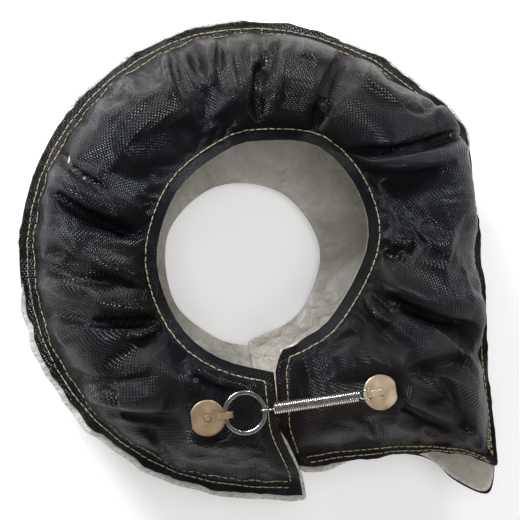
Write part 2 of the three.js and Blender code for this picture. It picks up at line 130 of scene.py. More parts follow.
def makeObject(name, vertices, faces, material, smooth=True):
    mesh = bpy.data.meshes.new(name)
    mesh.from_pydata((np.asarray(vertices) * MM).tolist(), [], [tuple(int(i) for i in f) for f in faces])
    mesh.update()
    mesh.materials.append(material)
    if smooth:
        mesh.polygons.foreach_set("use_smooth", [True] * len(mesh.polygons))
    return newObject(name, mesh)


def tubeFaces(count, sides, first=0):
    # the wall and both ends of a tube whose rings of vertices follow one another
    faces = []
    for k in range(count - 1):
        for s in range(sides):
            a, b = first + k * sides + s, first + k * sides + (s + 1) % sides
            faces.append((a, b, b + sides, a + sides))
    faces.append(tuple(first + s for s in reversed(range(sides))))
    faces.append(tuple(first + (count - 1) * sides + s for s in range(sides)))
    return faces


def applyModifiers(target):
    graph = bpy.context.evaluated_depsgraph_get()
    mesh = bpy.data.meshes.new_from_object(target.evaluated_get(graph))
    target.modifiers.clear()
    target.data = mesh


def modifier(target, kind, **values):
    made = target.modifiers.new(kind.lower(), kind)
    for key, value in values.items():
        setattr(made, key, value)
    return made


def dress(target, body, slot, *replaced):
    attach(target, body)
    if replaced:
        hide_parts(*replaced)
    return target


rootBody = frame["record"]["behaviour"]["joints"][0]["parent"]
ringBody = frame["record"]["behaviour"]["joints"][0]["child"]
rootBody = rootBody if rootBody in frame["bodies"] else "root"

# Materials


def newMaterial(name, color, roughness, metallic=0.0):
    material = bpy.data.materials.new(name)
    material.use_nodes = True
    shader = material.node_tree.nodes["Principled BSDF"]
    shader.inputs["Base Color"].default_value = (*color, 1)
    shader.inputs["Roughness"].default_value = roughness
    shader.inputs["Metallic"].default_value = metallic
    return material, material.node_tree, shader


def feed(node, name, source):
    node.id_data.links.new(source, node.inputs[name])


def addNode(tree, kind, inputs=None, **values):
    made = tree.nodes.new(kind)
    for key, value in values.items():
        setattr(made, key, value)
    for key, value in (inputs or {}).items():
        if hasattr(value, "is_output"):
            tree.links.new(value, made.inputs[key])
        else:
            made.inputs[key].default_value = value
    return made


def colorRamp(tree, source, stops):
    ramp = addNode(tree, "ShaderNodeValToRGB", {"Fac": source})
    while len(ramp.color_ramp.elements) < len(stops):
        ramp.color_ramp.elements.new(0.5)
    for element, (position, color) in zip(ramp.color_ramp.elements, stops):
        element.position = position
        element.color = (*color, 1)
    return ramp.outputs["Color"]


def mixColor(tree, factor, a, b, blend="MIX"):
    mix = addNode(tree, "ShaderNodeMix", data_type="RGBA", blend_type=blend)
    for socket, value in ((mix.inputs[0], factor), (mix.inputs[6], a), (mix.inputs[7], b)):
        if hasattr(value, "is_output"):
            tree.links.new(value, socket)
        else:
            socket.default_value = value if isinstance(value, float) else (*value, 1)
    return mix.outputs[2]


def positionOf(tree):
    return addNode(tree, "ShaderNodeNewGeometry").outputs["Position"]


def mathNode(tree, operation, a, b=0.0, c=0.0):
    node = addNode(tree, "ShaderNodeMath", {0: a, 1: b, 2: c}, operation=operation)
    return node.outputs[0]


def noiseTexture(tree, scale, detail=4.0, rough=0.5, vector=None, distortion=0.0):
    values = {"Scale": scale, "Detail": detail, "Roughness": rough, "Distortion": distortion}
    node = addNode(tree, "ShaderNodeTexNoise", values)
    if vector is not None:
        feed(node, "Vector", vector)
    return node.outputs["Fac"]


def bump(tree, height, distance, strength=1.0, normal=None):
    node = addNode(tree, "ShaderNodeBump", {"Height": height, "Distance": distance, "Strength": strength})
    if normal is not None:
        feed(node, "Normal", normal)
    return node.outputs["Normal"]


def makeWeaveGroup():
    # threads over and under one another: gives a height and a mask of the hollows between them
    group = bpy.data.node_groups.new("weave", "ShaderNodeTree")
    group.interface.new_socket("Vector", in_out="INPUT", socket_type="NodeSocketVector")
    group.interface.new_socket("Pitch", in_out="INPUT", socket_type="NodeSocketFloat")
    group.interface.new_socket("Height", in_out="OUTPUT", socket_type="NodeSocketFloat")
    group.interface.new_socket("Hollow", in_out="OUTPUT", socket_type="NodeSocketFloat")
    start = group.nodes.new("NodeGroupInput")
    end = group.nodes.new("NodeGroupOutput")
    split = addNode(group, "ShaderNodeSeparateXYZ", {0: start.outputs["Vector"]})
    turns = []
    for axis in (0, 1):
        turn = mathNode(group, "DIVIDE", split.outputs[axis], start.outputs["Pitch"])
        turns.append(mathNode(group, "MULTIPLY", turn, math.pi))
    sines = [mathNode(group, "SINE", turn) for turn in turns]
    crests = [mathNode(group, "ABSOLUTE", s) for s in sines]
    over = mathNode(group, "MULTIPLY", mathNode(group, "SIGN", sines[0]), mathNode(group, "SIGN", sines[1]))
    pick = mathNode(group, "GREATER_THAN", over, 0.0)
    first = mathNode(group, "MULTIPLY", crests[0], pick)
    second = mathNode(group, "MULTIPLY", crests[1], mathNode(group, "SUBTRACT", 1.0, pick))
    height = mathNode(group, "ADD", first, second)
    both = mathNode(group, "MINIMUM", crests[0], crests[1])
    feed(end, "Height", height)
    feed(end, "Hollow", mathNode(group, "SUBTRACT", 1.0, both))
    return group


weaveGroup = makeWeaveGroup()


def makeBlackCloth():
    material, tree, shader = newMaterial("blackCoatedCloth", (0.006, 0.006, 0.007), 0.3)
    place = positionOf(tree)
    flat = addNode(tree, "ShaderNodeUVMap", uv_map="cloth").outputs[0]
    weave = addNode(tree, "ShaderNodeGroup", {"Vector": flat, "Pitch": 0.00105}, node_tree=weaveGroup)
    wide = noiseTexture(tree, 14.0, 4.0, 0.5, place)
    fine = noiseTexture(tree, 260.0, 4.0, 0.6, place)
    brown = colorRamp(tree, wide, [(0.45, (0.002, 0.002, 0.003)), (0.62, (0.006, 0.004, 0.003))])
    feed(shader, "Base Color", brown)
    rough = mathNode(tree, "MULTIPLY_ADD", wide, 0.1, 0.22)
    rough = mathNode(tree, "MULTIPLY_ADD", fine, 0.1, rough)
    feed(shader, "Roughness", rough)
    shader.inputs["Specular IOR Level"].default_value = 0.5
    tint = colorRamp(tree, wide, [(0.4, (0.84, 0.9, 1.0)), (0.66, (1.0, 0.95, 0.9))])
    feed(shader, "Specular Tint", tint)
    wrinkles = noiseTexture(tree, 120.0, 5.0, 0.6, place, 0.8)
    normal = bump(tree, wrinkles, 0.0005, 0.4)
    normal = bump(tree, weave.outputs["Height"], 0.0003, 1.0, normal)
    feed(shader, "Normal", normal)
    return material


def makeSilverCloth():
    material, tree, shader = newMaterial("silverLining", (0.5, 0.48, 0.45), 0.42, 0.5)
    place = positionOf(tree)
    stain = noiseTexture(tree, 26.0, 6.0, 0.65, place, 0.8)
    patch = noiseTexture(tree, 10.0, 3.0, 0.5, place)
    tones = [(0.32, (0.56, 0.53, 0.48)), (0.5, (0.7, 0.67, 0.62)), (0.66, (0.88, 0.86, 0.82))]
    base = colorRamp(tree, stain, tones)
    yellow = colorRamp(tree, patch, [(0.55, (0, 0, 0)), (0.72, (1, 1, 1))])
    base = mixColor(tree, mathNode(tree, "MULTIPLY", yellow, 0.35), base, (0.6, 0.5, 0.33))
    raw = addNode(tree, "ShaderNodeAttribute", attribute_name="rawEdge").outputs["Fac"]
    frays = noiseTexture(tree, 700.0, 3.0, 0.6, place)
    yarn = colorRamp(tree, frays, [(0.35, (0.5, 0.49, 0.46)), (0.55, (0.9, 0.89, 0.87))])
    base = mixColor(tree, raw, base, yarn)
    feed(shader, "Base Color", base)
    feed(shader, "Metallic", mathNode(tree, "MULTIPLY_ADD", raw, -0.2, 0.2))
    cells = {"Scale": 110.0, "Randomness": 1.0}
    creases = addNode(tree, "ShaderNodeTexVoronoi", cells, feature="DISTANCE_TO_EDGE")
    warp = addNode(tree, "ShaderNodeTexNoise", {"Scale": 60.0, "Detail": 3.0})
    feed(warp, "Vector", place)
    shift = {0: warp.outputs["Color"], 1: (0.01, 0.01, 0.01)}
    moved = addNode(tree, "ShaderNodeVectorMath", shift, operation="MULTIPLY")
    moved = addNode(tree, "ShaderNodeVectorMath", {0: moved.outputs[0], 1: place}, operation="ADD")
    feed(creases, "Vector", moved.outputs[0])
    crumple = noiseTexture(tree, 150.0, 8.0, 0.7, place, 1.4)
    edge = mathNode(tree, "MINIMUM", creases.outputs["Distance"], 0.3)
    normal = bump(tree, edge, 0.003, 0.8)
    normal = bump(tree, crumple, 0.0022, 0.9, normal)
    feed(shader, "Normal", normal)
    rough = mathNode(tree, "MULTIPLY_ADD", crumple, 0.35, 0.16)
    feed(shader, "Roughness", mathNode(tree, "MULTIPLY_ADD", raw, 0.5, rough))
    return material


def makeThread():
    material, tree, shader = newMaterial("yellowThread", (0.6, 0.56, 0.3), 0.75)
    place = positionOf(tree)
    tone = noiseTexture(tree, 400.0, 3.0, 0.6, place)
    base = colorRamp(tree, tone, [(0.3, (0.27, 0.25, 0.15)), (0.7, (0.58, 0.55, 0.37))])
    feed(shader, "Base Color", base)
    strands = {"Scale": 900.0, "Distortion": 1.0}
    twist = addNode(tree, "ShaderNodeTexWave", strands, bands_direction="DIAGONAL")
    feed(twist, "Vector", place)
    feed(shader, "Normal", bump(tree, twist.outputs["Fac"], 0.0001, 0.6))
    return material


def makeSteel():
    material, tree, shader = newMaterial("platedSteel", (0.6, 0.53, 0.44), 0.32, 0.6)
    place = positionOf(tree)
    smear = noiseTexture(tree, 180.0, 5.0, 0.6, place)
    tones = [(0.3, (0.58, 0.44, 0.28)), (0.6, (0.8, 0.65, 0.45)), (0.8, (0.9, 0.79, 0.6))]
    base = colorRamp(tree, smear, tones)
    # the steel turns darker and browner towards the left: fully left of x = -10 mm, not at all right of x =
    # 25 mm
    across = addNode(tree, "ShaderNodeSeparateXYZ", {0: place}).outputs["X"]
    share = mathNode(tree, "MULTIPLY_ADD", across, 10.0, 0.5)
    darkerToLeft = colorRamp(tree, share, [(0.4, (0.62, 0.56, 0.5)), (0.75, (1, 1, 1))])
    base = mixColor(tree, 1.0, base, darkerToLeft, "MULTIPLY")
    feed(shader, "Base Color", base)
    feed(shader, "Roughness", mathNode(tree, "MULTIPLY_ADD", smear, 0.25, 0.2))
    grain = noiseTexture(tree, 1500.0, 2.0, 0.5, place)
    feed(shader, "Normal", bump(tree, grain, 0.00003, 0.5))
    return material


def makeWire():
    material, tree, shader = newMaterial("brightWire", (0.76, 0.75, 0.73), 0.2, 1.0)
    place = positionOf(tree)
    smear = noiseTexture(tree, 300.0, 4.0, 0.6, place)
    base = colorRamp(tree, smear, [(0.3, (0.55, 0.5, 0.43)), (0.6, (0.78, 0.77, 0.75))])
    feed(shader, "Base Color", base)
    feed(shader, "Roughness", mathNode(tree, "MULTIPLY_ADD", smear, 0.2, 0.12))
    return material


def makeWool():
    material, tree, shader = newMaterial("mineralWool", (0.78, 0.75, 0.68), 0.95)
    place = positionOf(tree)
    fibres = noiseTexture(tree, 500.0, 6.0, 0.7, place, 1.5)
    base = colorRamp(tree, fibres, [(0.3, (0.62, 0.59, 0.5)), (0.7, (0.85, 0.83, 0.78))])
    feed(shader, "Base Color", base)
    feed(shader, "Normal", bump(tree, fibres, 0.0004, 0.8))
    return material


blackCloth = makeBlackCloth()
silverCloth = makeSilverCloth()
threadMaterial = makeThread()
steel = makeSteel()
wire = makeWire()
wool = makeWool()
slotMaterials = {
    "black_cloth": blackCloth,
    "silver_cloth": silverCloth,
    "wool": wool,
    "thread": threadMaterial,
    "plated_steel": steel,
    "bright_wire": wire,
}
for subpart in frame["record"]["subparts"]:
    mesh = nodes[subpart["node"]].data
    mesh.materials.clear()
    mesh.materials.append(slotMaterials[subpart["material_slot"]])
print("materials made")

# Panels: each face of a solid is laid out again as a fine grid of columns round the hole and rows
# from the hole's edge out

panelCorners = {
    "front": [(2.9, -60.9), (5.5, -50.0), (12.3, -126.0), (12.8, -111.0)],
    "rear": [(-3.0, -46.5), (-1.0, -44.5), (12.3, -126.0), (12.8, -111.0)],
}


def surfaceOf(solid):
    points = [solid.matrix_world @ v.co for v in solid.data.vertices]
    return BVHTree.FromPolygons(points, [p.vertices[:] for p in solid.data.polygons])


def outlineOf(node, side, corners):
    # the face's smooth surface, its inner and its outer edge, both clockwise from the slit
    build = bmesh.new()
    build.from_mesh(nodes[node].data)
    bmesh.ops.remove_doubles(build, verts=build.verts, dist=2e-5)
    build.normal_update()
    bmesh.ops.delete(build, geom=[f for f in build.faces if f.normal.z * side < 0.02], context="FACES")
    edges = [e for e in build.edges if e.is_boundary]
    start = min((v for e in edges for v in e.verts), key=lambda v: (v.co.xy / MM - Vector(corners[2])).length)
    loop, last = [start], None
    while True:
        here = loop[-1]
        ahead = [e.other_vert(here) for e in here.link_edges if e.is_boundary]
        step = next((v for v in ahead if v is not last), None)
        if step is None or step is start:
            break
        last = here
        loop.append(step)
    points = np.array([v.co[:] for v in loop]) / MM
    if np.linalg.norm(points[3][:2]) < np.linalg.norm(points[0][:2]) - 4:
        points = np.concatenate([points[:1], points[:0:-1]])
    nearest = [int(np.argmin(np.linalg.norm(points[:, :2] - np.array(c), axis=1))) for c in corners]
    innerStart, innerEnd, outerStart, outerEnd = nearest
    outer = points[outerStart : outerEnd + 1]
    inner = points[innerEnd : innerStart + 1][::-1]
    bmesh.ops.join_triangles(build, faces=build.faces, angle_face_threshold=3.1, angle_shape_threshold=3.1)
    mesh = bpy.data.meshes.new("face")
    build.to_mesh(mesh)
    build.free()
    face = newObject("face", mesh)
    modifier(face, "SUBSURF", levels=2, render_levels=2, boundary_smooth="PRESERVE_CORNERS")
    applyModifiers(face)
    tree = surfaceOf(face)
    bpy.data.objects.remove(face)
    return tree, inner, outer


def spline(points, places):
    # a smooth line through the points, read at fractional places along it
    padded = np.concatenate([2 * points[:1] - points[1:2], points, 2 * points[-1:] - points[-2:-1]])
    i = np.minimum(places.astype(int), len(points) - 2)
    t = (places - i).reshape((-1,) + (1,) * (points.ndim - 1))
    a, b, c, d = (padded[i + k] for k in range(4))
    return 0.5 * (2 * b + (c - a) * t + (2 * a - 5 * b + 4 * c - d) * t**2 + (3 * b - a - 3 * c + d) * t**3)


def resample(points, count):
    return spline(points, np.linspace(0, len(points) - 1, count))


def refine(grid, columns, rows, hemRows=5, seamRows=6):
    # more columns and pad rows, with the hem's and the seam's rows kept
    last = grid.shape[1] - seamRows
    pad = np.linspace(hemRows - 1, last, rows)
    places = [np.arange(hemRows - 1), pad, np.arange(last + 1, grid.shape[1])]
    wide = spline(grid, np.linspace(0, len(grid) - 1, columns))
    return spline(wide.swapaxes(0, 1), np.concatenate(places).astype(float)).swapaxes(0, 1).copy()


def layOut(node, side, corners, columns, rows, rimHem, flange):
    tree, inner, outer = outlineOf(node, side, corners)
    inner, outer = resample(inner, columns), resample(outer, columns)
    width = np.linalg.norm((outer - inner)[:, :2], axis=1)
    hemRows = [0, 0.08, 0.45, 0.9, 1.0]
    seamRows = [0, 0.12, 0.35, 0.6, 0.85, 1.0]
    grid = np.zeros((columns, len(hemRows) + rows - 1 + len(seamRows), 3))
    for c in range(columns):
        pad = width[c] - rimHem - flange
        shares = (1 - np.cos(np.linspace(0, np.pi, rows + 1))) / 2 * 0.35 + np.linspace(0, 1, rows + 1) * 0.65
        places = [rimHem * s for s in hemRows] + list(rimHem + pad * shares[1:-1])
        places += [rimHem + pad + flange * s for s in seamRows]
        for r, place in enumerate(places):
            point = inner[c] + (outer[c] - inner[c]) * place / width[c]
            above = Vector((point[0] * MM, point[1] * MM, side * 0.3))
            hit = tree.ray_cast(above, Vector((0, 0, -side)))
            if hit[0] is None:
                hit = tree.find_nearest(Vector(point) * MM)
            grid[c, r] = (point[0], point[1], hit[0].z / MM)
    return swingTail(grid)


tail = {"shift": 9.0, "from": 86.0, "to": 120.0, "reach": 60.0, "at": 10.0}


def swingTail(grid):
    # both flaps lean to the right below the closure
    lean = smoothstep(-grid[..., 1], tail["from"], tail["to"])
    lean = lean * (1 - smoothstep(np.abs(grid[..., 0] - tail["at"]), 6, tail["reach"]))
    grid[..., 0] += tail["shift"] * lean
    return grid


def gridFaces(columns, rows, side):
    faces = []
    for c in range(columns - 1):
        for r in range(rows - 1):
            a, b, d, e = c * rows + r, (c + 1) * rows + r, (c + 1) * rows + r + 1, c * rows + r + 1
            faces.append((a, e, d, b) if side < 0 else (a, b, d, e))
    return faces


def gridObject(name, grid, side, material):
    columns, rows = grid.shape[:2]
    made = makeObject(name, grid.reshape(-1, 3), gridFaces(columns, rows, side), material)
    middle = grid[:, rows // 2]
    along = runAlong(middle)
    steps = np.linalg.norm(np.diff(grid, axis=1), axis=2)
    across = np.concatenate([np.zeros((columns, 1)), np.cumsum(steps, axis=1)], 1)
    place = np.stack([np.repeat(along[:, None], rows, 1), across], -1).reshape(-1, 2) * MM
    layer = made.data.uv_layers.new(name="cloth")
    index = np.array([loop.vertex_index for loop in made.data.loops])
    layer.data.foreach_set("uv", place[index].ravel())
    return made


def gridNormals(grid, side):
    across = np.gradient(grid, axis=1)
    along = np.gradient(grid, axis=0)
    normal = np.cross(along, across)
    normal /= np.linalg.norm(normal, axis=2, keepdims=True) + 1e-9
    return normal * np.sign(normal[..., 2:3] * side + 1e-9)


clothMake = {
    "quality": 6,
    "mass": 0.25,
    "tension_stiffness": 22,
    "compression_stiffness": 22,
    "shear_stiffness": 8,
    "bending_stiffness": 0.4,
    "air_damping": 4,
    "use_pressure": True,
    "vertex_group_mass": "pins",
    "pin_stiffness": 5,
}


def relax(name, grid, side, pins, growth, pressure, frames, most):
    # the cloth is cut a little larger than its pad, held along its seams and blown up
    flatGrid = gridObject(name + "Cut", grid, side, blackCloth)
    group = flatGrid.vertex_groups.new(name="pins")
    for index, weight in enumerate(pins.ravel()):
        if weight > 0.01:
            group.add([index], float(weight), "REPLACE")
    cloth = modifier(flatGrid, "CLOTH")
    settings = cloth.settings
    for key, value in clothMake.items():
        setattr(settings, key, value)
    settings.effector_weights.gravity = 0
    settings.uniform_pressure_force = pressure
    settings.shrink_min = growth
    settings.shrink_max = growth
    cloth.collision_settings.use_collision = False
    scene.frame_start = 1
    scene.frame_end = frames
    cloth.point_cache.frame_start = 1
    cloth.point_cache.frame_end = frames
    for number in range(1, frames + 1):
        scene.frame_set(number)
    graph = bpy.context.evaluated_depsgraph_get()
    mesh = flatGrid.evaluated_get(graph).to_mesh()
    moved = np.array([v.co[:] for v in mesh.vertices]).reshape(grid.shape) / MM
    bpy.data.objects.remove(flatGrid)
    scene.frame_set(1)
    shift = moved - grid
    length = np.linalg.norm(shift, axis=2, keepdims=True)
    print(name, "moved by at most", float(length.max()).__round__(2))
    return grid + shift * np.minimum(1, most / np.maximum(length, 1e-6))


# Folds of the front as ridges and valleys between two places in the picture:
# start, end, half-width in pixels, height in millimetres
folds = [
    (98, 120, 142, 88, 16, 2.4),
    (56, 150, 108, 192, 6, -4.2),
    (70, 110, 84, 126, 4, -1.8),
    (165, 56, 177, 100, 4, 2.6),
    (172, 54, 186, 98, 3.5, -2.2),
    (180, 54, 204, 94, 4, 2.6),
    (192, 46, 201, 76, 6, -3.4),
    (213, 42, 213, 86, 4, 3.0),
    (220, 46, 225, 92, 4, -2.0),
    (228, 44, 242, 108, 5, 3.0),
    (246, 46, 247, 72, 4, -1.8),
    (253, 48, 261, 66, 5, 2.4),
    (264, 58, 259, 118, 6, -4.4),
    (277, 42, 270, 72, 4, -2.8),
    (288, 46, 277, 102, 5, 2.8),
    (298, 52, 336, 60, 8, 2.4),
    (342, 54, 316, 126, 6, -5.4),
    (334, 60, 320, 114, 3.5, 1.6),
    (354, 70, 434, 108, 9, 3.0),
    (432, 106, 456, 140, 7, 2.4),
    (354, 152, 458, 136, 5, -5.0),
    (368, 164, 458, 154, 9, 3.2),
    (386, 186, 444, 230, 10, -1.8),
    (389, 192, 441, 252, 3.5, 1.6),
    (386, 238, 412, 244, 8, 2.4),
    (384, 252, 400, 258, 6, -2.2),
    (386, 282, 468, 314, 10, 4.4),
    (390, 299, 468, 324, 5, -3.8),
    (364, 298, 388, 324, 5, 2.8),
    (374, 292, 396, 312, 5, -2.0),
    (362, 322, 300, 362, 7, 2.0),
    (409, 372, 470, 360, 12, -2.8),
    (398, 394, 458, 420, 6, 3.4),
    (402, 404, 454, 430, 5, -2.2),
    (354, 404, 378, 448, 4, 2.4),
    (363, 402, 386, 442, 4, -1.8),
    (52, 174, 134, 224, 9, 3.4),
    (55, 194, 142, 235, 6, -3.6),
    (60, 238, 150, 282, 8, 3.8),
    (42, 254, 70, 264, 5, 2.4),
    (45, 267, 118, 282, 7, -3.4),
    (116, 228, 146, 235, 3, -1.6),
    (46, 286, 158, 308, 10, 4.0),
    (55, 314, 162, 320, 5, -3.4),
    (132, 337, 160, 327, 4, 2.4),
    (56, 330, 68, 346, 4, 1.8),
    (81, 394, 182, 405, 8, 3.4),
    (78, 378, 150, 376, 7, -1.6),
    (90, 408, 180, 420, 6, -2.4),
    (109, 424, 152, 431, 5, -2.8),
    (150, 430, 174, 463, 5, -2.8),
    (170, 462, 268, 475, 5, -2.2),
    (186, 363, 250, 390, 7, 2.4),
    (190, 441, 232, 447, 7, 2.2),
]


# a ridge rises slowly on this side of it, towards the picture's upper left
litFrom = (-0.5, -0.86)


def foldLift(pixels):
    lift = np.zeros(pixels.shape[:2])
    for *ends, width, height in folds:
        a, b = np.array(ends[:2], float), np.array(ends[2:], float)
        way = b - a
        length = np.linalg.norm(way)
        along = ((pixels - a) @ way) / length**2
        bend = 0.05 * length * np.sin(np.pi * np.clip(along, 0, 1))
        side = ((pixels - a) @ np.array([-way[1], way[0]])) / length - bend
        fade = smoothstep(along, -0.15, 0.2) * (1 - smoothstep(along, 0.75, 1.15))
        broad = width * (0.85 + 0.3 * np.clip(along, 0, 1))
        lit = np.sign(litFrom[0] * -way[1] + litFrom[1] * way[0])
        lean = np.where(side * lit > 0, foldShare["lit"], foldShare["shaded"]) if height > 0 else 1.0
        across = np.abs(side / (broad * lean))
        lift += height * fade * (np.exp(-(across**2)) if height > 0 else np.exp(-(across**1.4)))
    return lift


hems = {"rimHem": 6.2, "flange": 8.0}
frontSize = {"columns": 300, "rows": 40, "fineColumns": 560, "fineRows": 54, "overLining": 2.4}
frontSwell = {"growth": -0.035, "pressure": 2.2, "frames": 16, "most": 5.0}
# the share of the folds put in before and after the simulation, and how broad their two sides are
foldShare = {"before": 0.4, "after": 0.85, "lit": 1.6, "shaded": 0.75}


def padShare(grid, first, last):
    # 1 over the pad, fading out over the hem's rows and between these rows before the seam
    row = np.arange(grid.shape[1])
    return smoothstep(row, 3, 9) * (1 - smoothstep(row, len(row) - first, len(row) - last))


def pinWeights(grid, hemRows=5, seamRows=6, endColumns=7):
    columns, rows = grid.shape[:2]
    pins = np.zeros((columns, rows))
    pins[:, : hemRows - 1] = 1
    pins[:, rows - seamRows + 1 :] = 1
    pins[:endColumns] = 1
    pins[-endColumns:] = 1
    return pins


def keepAbove(grid, lining):
    # no crease of the cover goes down into the lining
    liner = nodes[lining]
    tree = surfaceOf(liner)
    for c in range(grid.shape[0]):
        for r in range(5, grid.shape[1] - 6):
            start = Vector((grid[c, r, 0] * MM, grid[c, r, 1] * MM, 0.2))
            hit = tree.ray_cast(start, Vector((0, 0, -1)))[0]
            if hit:
                grid[c, r, 2] = max(grid[c, r, 2], hit.z / MM + frontSize["overLining"])
    return grid


slit = {"columns": 26, "close": 3.2, "from": 50.0, "to": 62.0, "lift": 0.5}
slitCorner = {"out": 2.6, "at": -47.5, "reach": 3.5}


def meetFlaps(grid):
    # the right flap's edge leans on the left flap's, and its upper corner is rounded
    near = smoothstep(np.arange(len(grid)), len(grid) - slit["columns"], len(grid) - 2)[:, None]
    low = smoothstep(-grid[..., 1], slit["from"], slit["to"])
    corner = np.exp(-(((grid[..., 1] - slitCorner["at"]) / slitCorner["reach"]) ** 2))
    grid[..., 0] += near * (slitCorner["out"] * corner * (1 - low) - slit["close"] * low)
    grid[..., 2] += near * low * slit["lift"]
    return grid


def edgeRun(grid):
    return runAlong(grid[:, -1])


def puckers(grid, seed, seamRows=6):
    # the raw edge ripples between its stitches
    run = edgeRun(grid)
    ripple = 1.3 * waves(run, seed, 17.0) + 0.7 * waves(run, seed + 2.0, 7.0)
    for r in range(grid.shape[1] - seamRows, grid.shape[1]):
        share = (r - grid.shape[1] + seamRows) / (seamRows - 1)
        grid[:, r, 2] += share * ripple
    return grid


def moveEdge(grid, amount):
    # lets the raw edge run in and out by these millimetres
    way = grid[:, -1] - grid[:, -3]
    way[:, 2] = 0
    way /= np.linalg.norm(way, axis=1, keepdims=True)
    grid[:, -1] += way * amount[:, None]
    grid[:, -2] += way * amount[:, None] * 0.6
    return grid


front = layOut("front_cover", 1, panelCorners["front"], frontSize["columns"], frontSize["rows"], **hems)
pixels = toPixels(front)
pins = pinWeights(front)
# the closure's ends in the picture, and the distances from it over which folds fade in, in pixels
closureAt = {"ends": ((206, 417), (381, 394)), "flat": 14, "full": 34}


def awayFromClosure(pixels):
    a, b = (np.array(p, float) for p in closureAt["ends"])
    t = np.clip(((pixels - a) @ (b - a)) / ((b - a) @ (b - a)), 0, 1)
    near = np.linalg.norm(pixels - (a + t[..., None] * (b - a)), axis=-1)
    return smoothstep(near, closureAt["flat"], closureAt["full"])


front[..., 2] += foldLift(pixels) * padShare(front, 9, 5) * awayFromClosure(pixels) * foldShare["before"]
print("front laid out")
before = front.copy()
front = relax("front", front, 1, pins, **frontSwell)
keep = awayFromClosure(pixels)[..., None]
front = before + (front - before) * keep
front = refine(front, frontSize["fineColumns"], frontSize["fineRows"])
pixels = toPixels(front)

# the pad stands up steeply beside the seam, and bulges over it on the right
pillow = {"rise": 2.6, "sideRise": 6.5, "at": 6.0, "out": 4.5}
toSeam = np.linalg.norm((front[:, -6:-5] - front)[..., :2], axis=2)
sideShare = smoothstep(front[:, -1, 0], 70, 108) * smoothstep(front[:, -1, 1], -72, -40)
near = toSeam / pillow["at"] * np.exp(1 - toSeam / pillow["at"])
near[:, -6:] = 0
near *= awayFromClosure(pixels)
outward = front[:, -1] - front[:, -8]
outward[:, 2] = 0
outward /= np.linalg.norm(outward, axis=1, keepdims=True)
front[..., 2] += near * (pillow["rise"] + (pillow["sideRise"] - pillow["rise"]) * sideShare[:, None])
front += (near * pillow["out"] * sideShare[:, None])[..., None] * outward[:, None, :]
lift = foldLift(pixels) * padShare(front, 13, 6) * awayFromClosure(pixels) * foldShare["after"]
front += lift[..., None] * gridNormals(front, 1)
front = keepAbove(front, "front_lining")
front = puckers(front, 3.0)
front = meetFlaps(front)
frontEdge = 0.9 * waves(edgeRun(front), 1.0, 14.0) + 0.35 * waves(edgeRun(front), 6.0, 4.0) - 0.7
front = moveEdge(front, frontEdge)
print("front shaped")


def clothObject(name, grid, side, node, material, thickness, slot, levels=1):
    made = gridObject(name, grid, side, material)
    modifier(made, "SOLIDIFY", thickness=thickness * MM, offset=-1.0)
    if levels:
        modifier(made, "SUBSURF", levels=levels, render_levels=levels)
    applyModifiers(made)
    made.data.polygons.foreach_set("use_smooth", [True] * len(made.data.polygons))
    return dress(made, rootBody, slot, node)


blackMake = {"material": blackCloth, "thickness": 0.8, "slot": "black_cloth"}
silverMake = {"material": silverCloth, "thickness": 0.5, "slot": "silver_cloth"}
frontCover = clothObject("frontCoverCloth", front, 1, "front_cover", **blackMake, levels=0)

rearSize = {"columns": 220, "rows": 26}
rear = layOut("rear_cover", -1, panelCorners["rear"], rearSize["columns"], rearSize["rows"], **hems)
rear = puckers(rear, 4.0)
rear[..., 2] = np.maximum(rear[..., 2], 0.0)
rearCover = clothObject("rearCoverCloth", rear, -1, "rear_cover", **blackMake)
print("rear shaped")


def gridAt(grid, column, row):
    c = np.clip(column, 0, grid.shape[0] - 1.001)
    r = np.clip(row, 0, grid.shape[1] - 1.001)
    i, j = c.astype(int), r.astype(int)
    u, v = (c - i)[:, None], (r - j)[:, None]
    near = grid[i, j] * (1 - v) + grid[i, j + 1] * v
    far = grid[i + 1, j] * (1 - v) + grid[i + 1, j + 1] * v
    return near * (1 - u) + far * u


woolShape = {"columns": 130, "rows": 22, "under": 3.2, "over": 1.4, "spread": 3}
woolRoom = {"toCover": 1.1, "toLining": 1.0, "least": 0.2}


